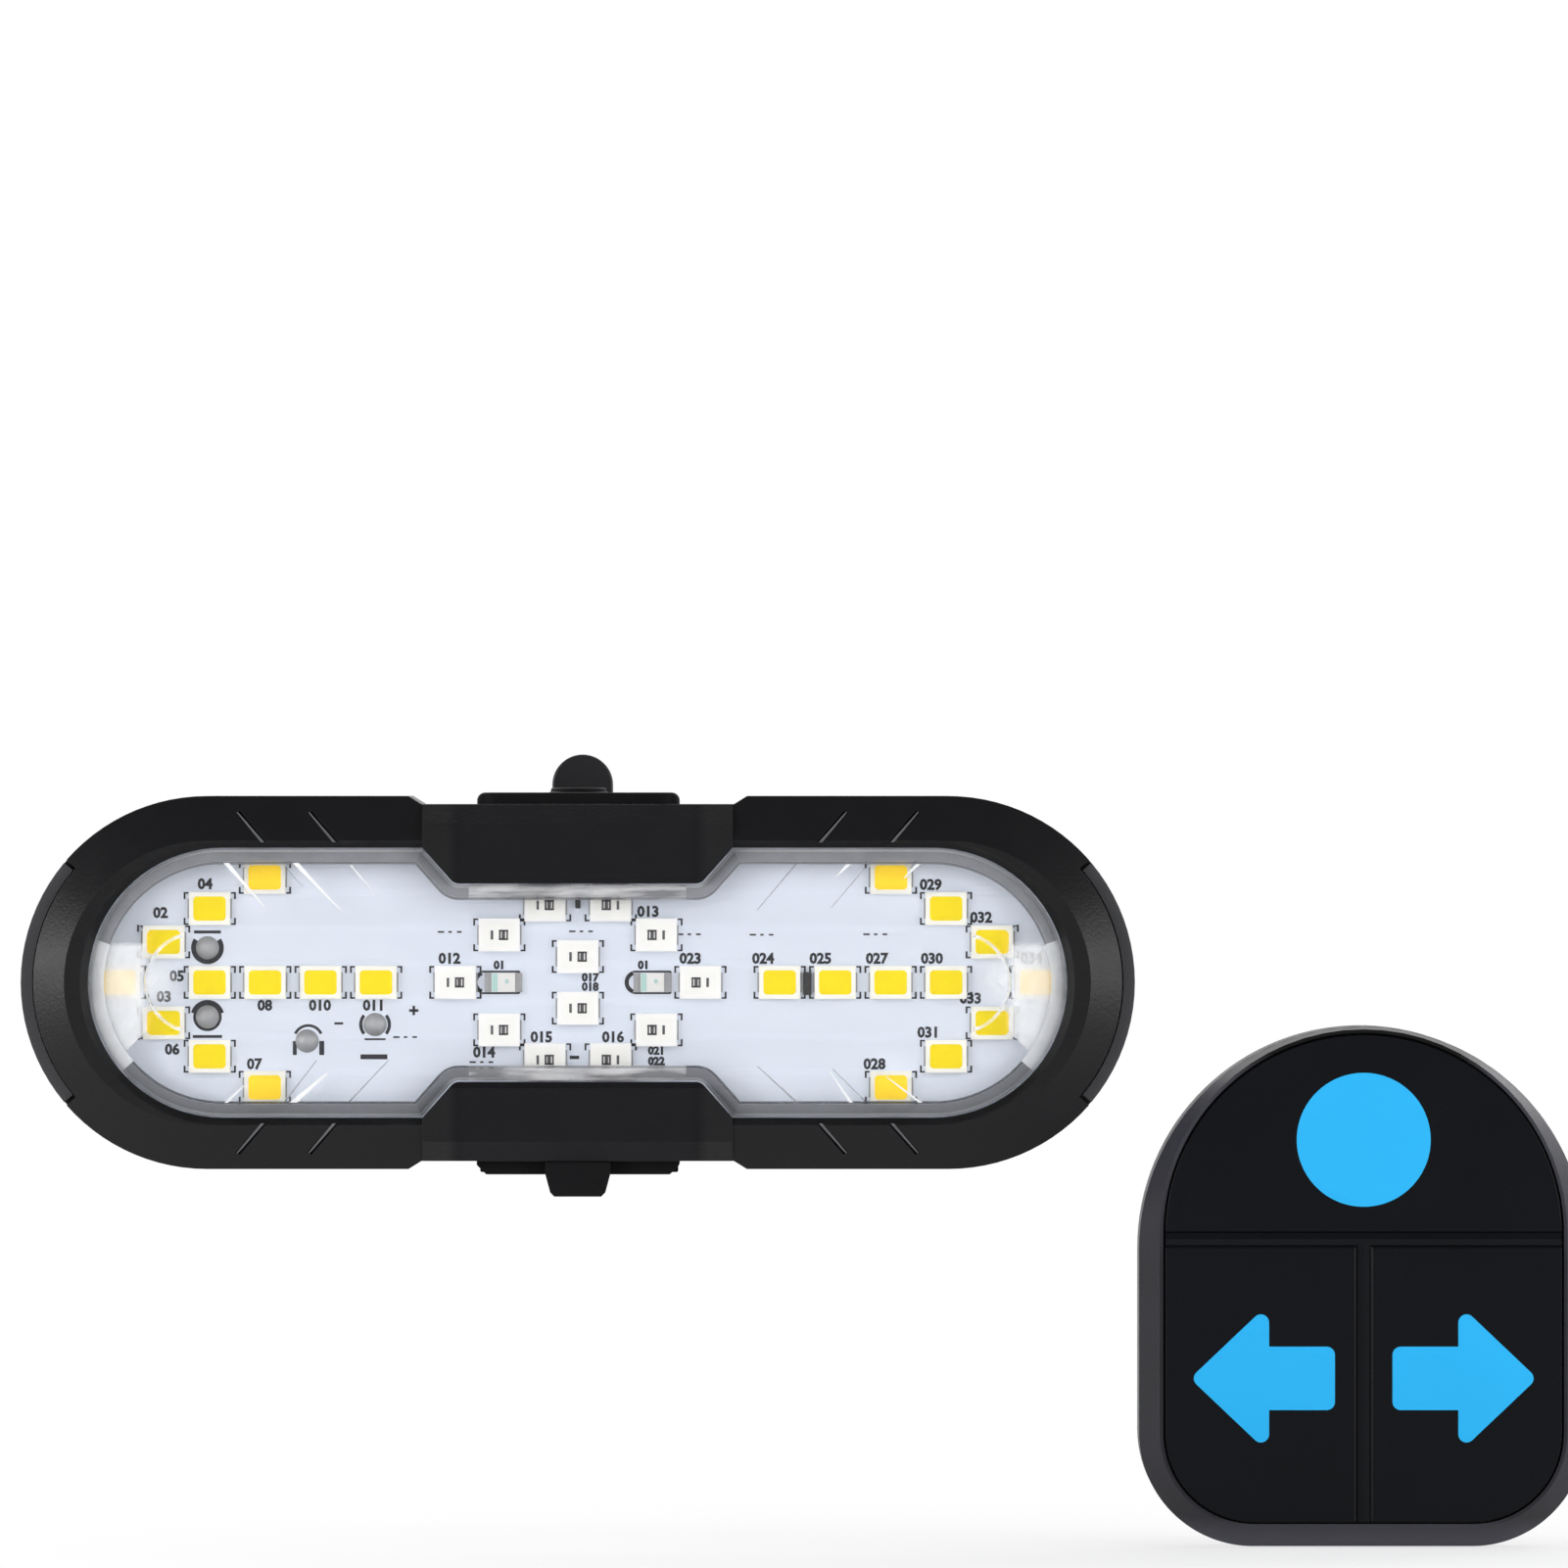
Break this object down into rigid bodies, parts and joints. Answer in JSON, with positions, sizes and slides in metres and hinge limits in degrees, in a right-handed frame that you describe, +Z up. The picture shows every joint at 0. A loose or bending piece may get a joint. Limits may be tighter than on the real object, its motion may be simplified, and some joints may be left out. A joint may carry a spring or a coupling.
{
  "type": "bicycle turn signal light",
  "caption": "Capsule-shaped seat post lamp with arrow LEDs behind a clear waisted lens, a quick-release bracket and rubber strap, and its wireless handlebar remote with arrow keys.",
  "frame": {"origin": "on the seat post's axis, at the middle of the strap's width", "axes": "+Z up the seat post, the lamp's face looks along -Y, +X to the right of someone facing the lamp"},
  "size_m": [0.1335, 0.083, 0.0676],
  "materials": {
    "bezel_black": "fine moulded texture",
    "housing_black": "satin",
    "lens_clear": "clear polycarbonate",
    "board_white": "white solder mask",
    "led_white": "white LED package",
    "phosphor_amber": "amber LED fill",
    "resin_pale": "clear LED fill",
    "steel": "plated",
    "rubber_black": "silicone rubber",
    "switch_black": "moulded",
    "battery_wrap": "shrink wrap",
    "foam_black": "foam",
    "lead_red": "wire insulation",
    "latch_grey": "satin",
    "remote_grey": "satin",
    "key_gloss": "gloss",
    "sign_blue": "printed inlay",
    "mat_grey": "silicone rubber",
    "board_green": "solder mask"
  },
  "bodies": {
    "set": {"front_bezel": "bezel_black", "lens": "lens_clear", "lens_gasket": "rubber_black", "led_board": "board_white", "amber_led_frames": "led_white", "amber_led_fills": "phosphor_amber", "red_led_frames": "led_white", "red_led_fills": "resin_pale", "indicator_leds": "resin_pale", "solder_joints": "steel", "housing": "housing_black", "power_switch": "switch_black", "port_cover_anchor": "rubber_black", "charging_socket": "steel", "buzzer": "switch_black", "battery": "battery_wrap", "battery_foam": "foam_black", "battery_leads": "lead_red", "rear_cover": "housing_black", "cover_screws": "steel", "post_bracket": "housing_black", "saddle_pad": "rubber_black", "post_strap": "rubber_black", "strap_pin": "steel", "strap_toggle": "housing_black", "latch_pin": "steel", "latch_spring": "steel", "remote_case": "remote_grey", "key_mat": "mat_grey", "remote_board": "board_green", "coin_cell": "steel", "cell_clip": "steel", "remote_rear": "remote_grey", "remote_screws": "steel", "bar_pad": "rubber_black", "bar_strap": "rubber_black", "bar_strap_pins": "steel"},
    "button": {"power_button": "rubber_black"},
    "cover": {"port_cover": "rubber_black"},
    "latch": {"release_latch": "latch_grey"},
    "round": {"round_key": "key_gloss", "round_sign": "sign_blue"},
    "left": {"left_key": "key_gloss", "left_sign": "sign_blue"},
    "right": {"right_key": "key_gloss", "right_sign": "sign_blue"}
  },
  "joints": [
    {"name": "power_press", "type": "slide", "parent": "set", "child": "button", "axis": [0, 0, -1], "range_m": [0, 0.0007], "stiffness_N_per_m": 1500},
    {"name": "port_cover_flip", "type": "hinge", "parent": "set", "child": "cover", "pos_m": [0, -0.05328, -0.01582], "axis": [1, 0, 0], "range_deg": [0, 95]},
    {"name": "latch_release", "type": "hinge", "parent": "set", "child": "latch", "pos_m": [0, -0.02745, 0.001], "axis": [-1, 0, 0], "range_deg": [0, 12], "stiffness_Nm_per_rad": 0.37, "deforming": ["latch_spring"]},
    {"name": "round_key_press", "type": "slide", "parent": "set", "child": "round", "axis": [0, 1, 0], "range_m": [0, 0.0005], "stiffness_N_per_m": 1500},
    {"name": "left_key_press", "type": "slide", "parent": "set", "child": "left", "axis": [0, 1, 0], "range_m": [0, 0.0005], "stiffness_N_per_m": 1500},
    {"name": "right_key_press", "type": "slide", "parent": "set", "child": "right", "axis": [0, 1, 0], "range_m": [0, 0.0005], "stiffness_N_per_m": 1500}
  ]
}
